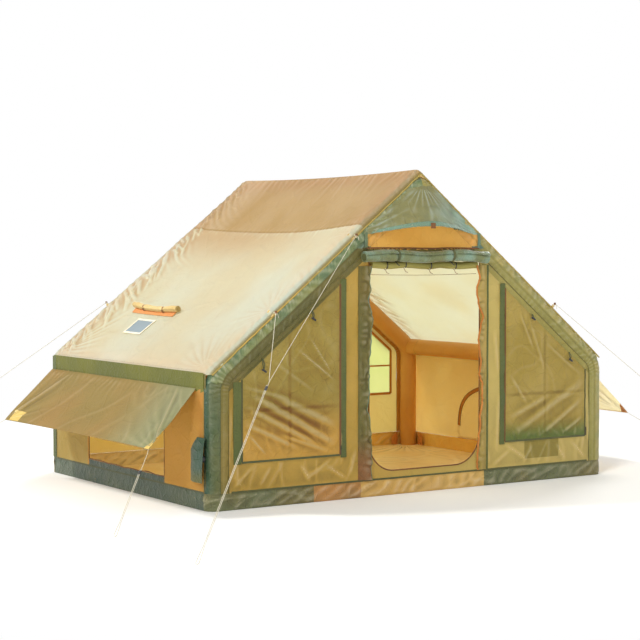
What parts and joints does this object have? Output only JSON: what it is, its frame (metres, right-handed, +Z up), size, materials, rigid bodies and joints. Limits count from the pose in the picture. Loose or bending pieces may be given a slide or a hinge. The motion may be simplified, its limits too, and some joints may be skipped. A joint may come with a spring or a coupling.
{
  "type": "inflatable glamping tent",
  "caption": "Gabled air-beam tent with a rolled-up front door under a visor, zipped window covers, side awnings under the eaves, a roof stove jack and guy lines.",
  "frame": {"origin": "on the ground under the middle of the floor, on the groundsheet's underside", "axes": "+Z up, +X to the right seen from the front, so the front gable with the door faces -Y"},
  "size_m": [4.3661, 4.0032, 1.9999],
  "materials": {
    "beam_sleeve": "matte",
    "air_bladder": "satin",
    "green_cloth": "satin",
    "floor_cloth": "matte",
    "mud_cloth": "satin",
    "khaki_cloth": "matte",
    "side_cloth": "matte",
    "orange_cloth": "matte",
    "visor_cloth": "satin",
    "net_cloth": "matte",
    "roof_cloth": "satin",
    "stove_jack_cloth": "satin",
    "awning_cloth": "satin",
    "black_plastic": "satin",
    "zip_metal": "satin",
    "guy_cord": "matte"
  },
  "bodies": {
    "tent": {"front_post_left": "beam_sleeve", "front_post_right": "beam_sleeve", "front_rafter_left": "beam_sleeve", "front_rafter_right": "beam_sleeve", "rear_post_left": "beam_sleeve", "rear_post_right": "beam_sleeve", "rear_rafter_left": "beam_sleeve", "rear_rafter_right": "beam_sleeve", "ridge_beam": "beam_sleeve", "eave_left_beam": "beam_sleeve", "eave_right_beam": "beam_sleeve", "front_arch_bladder": "air_bladder", "rear_arch_bladder": "air_bladder", "ridge_bladder": "air_bladder", "eave_left_bladder": "air_bladder", "eave_right_bladder": "air_bladder", "front_arch_cover": "green_cloth", "rear_arch_cover": "green_cloth", "groundsheet": "floor_cloth", "mud_wall_front": "mud_cloth", "mud_wall_rear": "mud_cloth", "mud_wall_left": "mud_cloth", "mud_wall_right": "mud_cloth", "front_wall_left": "khaki_cloth", "front_wall_right": "khaki_cloth", "rear_wall": "khaki_cloth", "door_surround": "khaki_cloth", "gable_vent_panel": "orange_cloth", "storm_strip_left": "green_cloth", "storm_strip_right": "green_cloth", "visor": "visor_cloth", "window_cover_left": "khaki_cloth", "window_cover_right": "khaki_cloth", "door_roll": "green_cloth", "door_net_roll": "net_cloth", "rear_window_roll_left": "khaki_cloth", "rear_window_roll_right": "khaki_cloth", "side_wall_left": "side_cloth", "side_wall_right": "side_cloth", "side_door": "side_cloth", "roof_left": "roof_cloth", "roof_right": "roof_cloth", "stove_jack": "stove_jack_cloth", "stove_jack_cover": "roof_cloth", "inflation_valve": "black_plastic", "guy_line_front": "guy_cord", "guy_line_branch": "guy_cord", "guy_line_right": "guy_cord", "guy_line_rear": "guy_cord", "awning_line_front_left": "guy_cord", "awning_line_rear": "guy_cord", "awning_line_right": "guy_cord"},
    "awning_left": {"awning_left": "awning_cloth"},
    "awning_right": {"awning_right": "awning_cloth"},
    "valve_cover": {"valve_cover": "green_cloth"},
    "valve_cap": {"valve_cap": "black_plastic"},
    "zip_slider_left": {"zip_slider_left": "zip_metal"},
    "zip_slider_right": {"zip_slider_right": "zip_metal"},
    "guy_runner_front": {"guy_runner_front": "black_plastic"},
    "awning_runner": {"awning_runner": "black_plastic"}
  },
  "joints": [
    {"name": "awning_left_hinge", "type": "hinge", "parent": "tent", "child": "awning_left", "pos_m": [-1.5168, 0, 0.7], "axis": [0, 1, 0], "range_deg": [-36, 40]},
    {"name": "awning_right_hinge", "type": "hinge", "parent": "tent", "child": "awning_right", "pos_m": [1.5168, 0, 0.7], "axis": [0, -1, 0], "range_deg": [-36, 40]},
    {"name": "valve_cover_hinge", "type": "hinge", "parent": "tent", "child": "valve_cover", "pos_m": [-1.5168, -0.87, 0.165], "axis": [0, 0, -1], "range_deg": [0, 130]},
    {"name": "valve_cap_screw", "type": "hinge", "parent": "tent", "child": "valve_cap", "pos_m": [-1.5206, -1.0192, 0.3], "axis": [-1, 0, 0], "range_deg": [0, 360]},
    {"name": "zip_left_slide", "type": "slide", "parent": "tent", "child": "zip_slider_left", "axis": [0, 0, 1], "range_m": [0, 0.95]},
    {"name": "zip_right_slide", "type": "slide", "parent": "tent", "child": "zip_slider_right", "axis": [0, 0, 1], "range_m": [0, 0.37]},
    {"name": "guy_runner_slide", "type": "slide", "parent": "tent", "child": "guy_runner_front", "axis": [-0.6257, -0.5513, -0.552], "range_m": [-0.03, 1.2]},
    {"name": "awning_runner_slide", "type": "slide", "parent": "tent", "child": "awning_runner", "axis": [-0.5935, -0.6374, -0.4915], "range_m": [-0.14, 0.41]}
  ]
}
